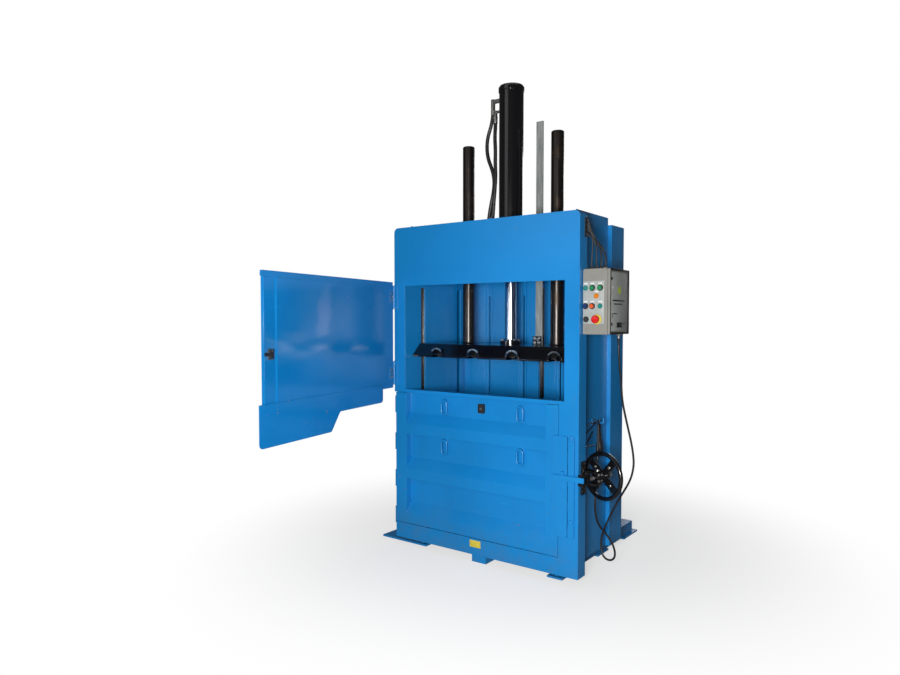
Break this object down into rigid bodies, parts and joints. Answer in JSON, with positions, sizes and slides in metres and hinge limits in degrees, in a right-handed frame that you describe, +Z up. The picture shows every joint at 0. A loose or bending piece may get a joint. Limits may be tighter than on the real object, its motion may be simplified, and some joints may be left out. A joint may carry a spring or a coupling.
{
  "type": "recycling baler",
  "caption": "Upright hydraulic baler with a ribbed bale door, swinging feed gate, press plate on guide rods, hand wheel clamp and side switch box.",
  "frame": {"origin": "on the floor, in the middle of the four anchor holes in the foot plates", "axes": "+Z up, the front with its doors looks along -Y, the switch box is at +X"},
  "size_m": [1.8336, 2.6682, 3.207],
  "materials": {
    "machine_blue": "gloss",
    "gate_blue": "gloss",
    "black_paint": "gloss",
    "oiled_steel": "oiled",
    "hard_chrome": "polished",
    "grey_bar": "satin",
    "bare_steel": "satin",
    "box_grey": "satin",
    "black_rubber": "matt",
    "hose_rubber": "satin",
    "cable_sheath": "satin",
    "black_plastic": "satin",
    "button_green": "gloss",
    "button_blue": "gloss",
    "button_orange": "gloss",
    "stop_red": "gloss",
    "lamp_lens": "gloss"
  },
  "bodies": {
    "root": {"back_wall": "machine_blue", "base_rails": "machine_blue", "button_bezels": "black_plastic", "cable_glands": "black_plastic", "chamber_floor": "machine_blue", "clamp_bracket": "black_paint", "control_box_shell": "box_grey", "control_cables": "cable_sheath", "cord_gland": "bare_steel", "cord_hook": "machine_blue", "crosshead": "machine_blue", "cylinder_barrel": "black_paint", "cylinder_gland": "bare_steel", "door_hinge_lugs": "machine_blue", "filler_cap": "black_plastic", "foot_plates": "machine_blue", "front_frame": "machine_blue", "gate_hinge_lugs": "machine_blue", "guide_bushes": "bare_steel", "hinge_post": "machine_blue", "hose_lower": "hose_rubber", "hose_upper": "hose_rubber", "oil_tank": "machine_blue", "pack_shelf": "machine_blue", "port_elbows": "bare_steel", "post_keeper_bar": "machine_blue", "power_cord": "cable_sheath", "power_plug": "black_plastic", "pump_motor": "grey_bar", "rear_posts": "machine_blue", "side_walls": "machine_blue", "signal_lamps": "lamp_lens", "switchgear": "black_plastic", "tie_channels": "black_paint", "valve_block": "bare_steel"},
    "press": {"platen": "black_paint", "guide_rods": "oiled_steel", "piston_rod": "hard_chrome", "piston": "bare_steel", "position_bar": "grey_bar"},
    "feed_gate": {"gate_panel": "gate_blue", "gate_skirt": "gate_blue", "gate_hinge_leaves": "machine_blue", "gate_latch": "black_plastic"},
    "bale_door": {"door_skin": "machine_blue", "door_stiles": "machine_blue", "door_knuckles": "machine_blue", "tie_hooks": "machine_blue", "rubber_buffer": "black_rubber", "door_lock_plate": "machine_blue"},
    "clamp_block": {"clamp_block": "black_paint"},
    "fork_spindle": {"fork_spindle": "black_paint"},
    "hand_wheel": {"hand_wheel": "black_paint"},
    "control_box_door": {"control_box_door": "box_grey"},
    "button_platen_up": {"button_platen_up": "button_green"},
    "button_platen_down": {"button_platen_down": "button_green"},
    "button_start": {"button_start": "button_blue"},
    "button_stop": {"button_stop": "button_orange"},
    "emergency_stop": {"emergency_stop": "stop_red"},
    "selector_switch": {"selector_switch": "black_plastic"}
  },
  "joints": [
    {"name": "platen_stroke", "type": "slide", "parent": "root", "child": "press", "axis": [0, 0, 1], "range_m": [-0.76, 0.37]},
    {"name": "gate_swing", "type": "hinge", "parent": "root", "child": "feed_gate", "pos_m": [-0.712, -0.676, 1.49], "axis": [0, 0, -1], "range_deg": [-79, 20]},
    {"name": "door_swing", "type": "hinge", "parent": "root", "child": "bale_door", "pos_m": [-0.724, -0.631, 0.62], "axis": [0, 0, -1], "range_deg": [0, 74]},
    {"name": "clamp_rock", "type": "hinge", "parent": "root", "child": "clamp_block", "pos_m": [0.787, -0.541, 0.655], "axis": [0, 0, 1], "range_deg": [-4, 4]},
    {"name": "wheel_turn", "type": "hinge", "parent": "clamp_block", "child": "hand_wheel", "pos_m": [0.787, -0.541, 0.655], "axis": [0.2924, 0.9563, 0], "range_deg": [-720, 720]},
    {"name": "spindle_feed", "type": "slide", "parent": "clamp_block", "child": "fork_spindle", "axis": [0.2924, 0.9563, 0], "range_m": [-0.01, 0.01]},
    {"name": "box_door_swing", "type": "hinge", "parent": "root", "child": "control_box_door", "pos_m": [0.888, -0.338, 1.7], "axis": [0, 0, 1], "range_deg": [0, 110]},
    {"name": "press_up", "type": "slide", "parent": "root", "child": "button_platen_up", "axis": [0, 1, 0], "range_m": [0, 0.004], "stiffness_N_per_m": 400},
    {"name": "press_down", "type": "slide", "parent": "root", "child": "button_platen_down", "axis": [0, 1, 0], "range_m": [0, 0.004], "stiffness_N_per_m": 400},
    {"name": "press_start", "type": "slide", "parent": "root", "child": "button_start", "axis": [0, 1, 0], "range_m": [0, 0.004], "stiffness_N_per_m": 400},
    {"name": "press_stop", "type": "slide", "parent": "root", "child": "button_stop", "axis": [0, 1, 0], "range_m": [0, 0.004], "stiffness_N_per_m": 400},
    {"name": "press_emergency_stop", "type": "slide", "parent": "root", "child": "emergency_stop", "axis": [0, 1, 0], "range_m": [0, 0.005], "stiffness_N_per_m": 600},
    {"name": "turn_selector", "type": "hinge", "parent": "root", "child": "selector_switch", "pos_m": [0.746, -0.636, 1.603], "axis": [0, 1, 0], "range_deg": [-45, 45]}
  ],
  "couplings": [
    {"joint": "spindle_feed", "follows": "wheel_turn", "m_per_rad": 0.00079577}
  ]
}
